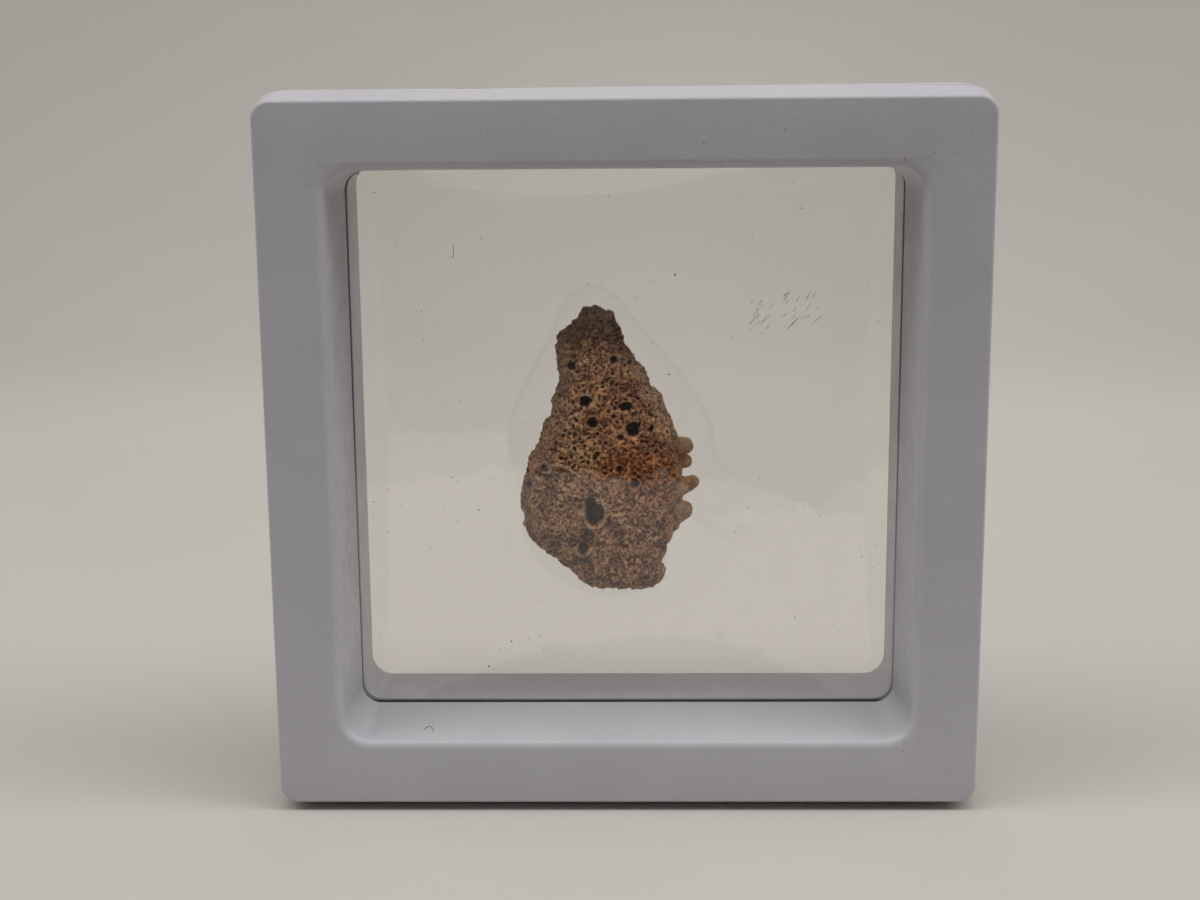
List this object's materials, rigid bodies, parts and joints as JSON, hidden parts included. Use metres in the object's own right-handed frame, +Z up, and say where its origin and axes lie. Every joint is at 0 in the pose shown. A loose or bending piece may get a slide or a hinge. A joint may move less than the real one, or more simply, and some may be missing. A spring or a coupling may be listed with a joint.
{
  "type": "fossil osteoderm in a membrane display frame",
  "caption": "Fossil ankylosaur armour plate (osteoderm) held between stretched clear films in a square free-standing plastic display frame.",
  "frame": {"origin": "middle of the footprint, on the surface that the frame stands on", "axes": "+Z up; -Y out of the front face, towards the viewer; +X to the viewer's right"},
  "size_m": [0.07, 0.02, 0.07],
  "materials": {
    "fossil_bone": "rough, densely pitted fossil bone, tan ridges over dark brown pits",
    "clear_film": "clear stretched elastic film",
    "frame_plastic": "fine matte moulded texture, very pale lilac-grey white"
  },
  "bodies": {
    "root": {"osteoderm": "fossil_bone", "membrane_front": "clear_film", "membrane_rear": "clear_film", "frame_front": "frame_plastic", "frame_rear": "frame_plastic"}
  },
  "joints": []
}
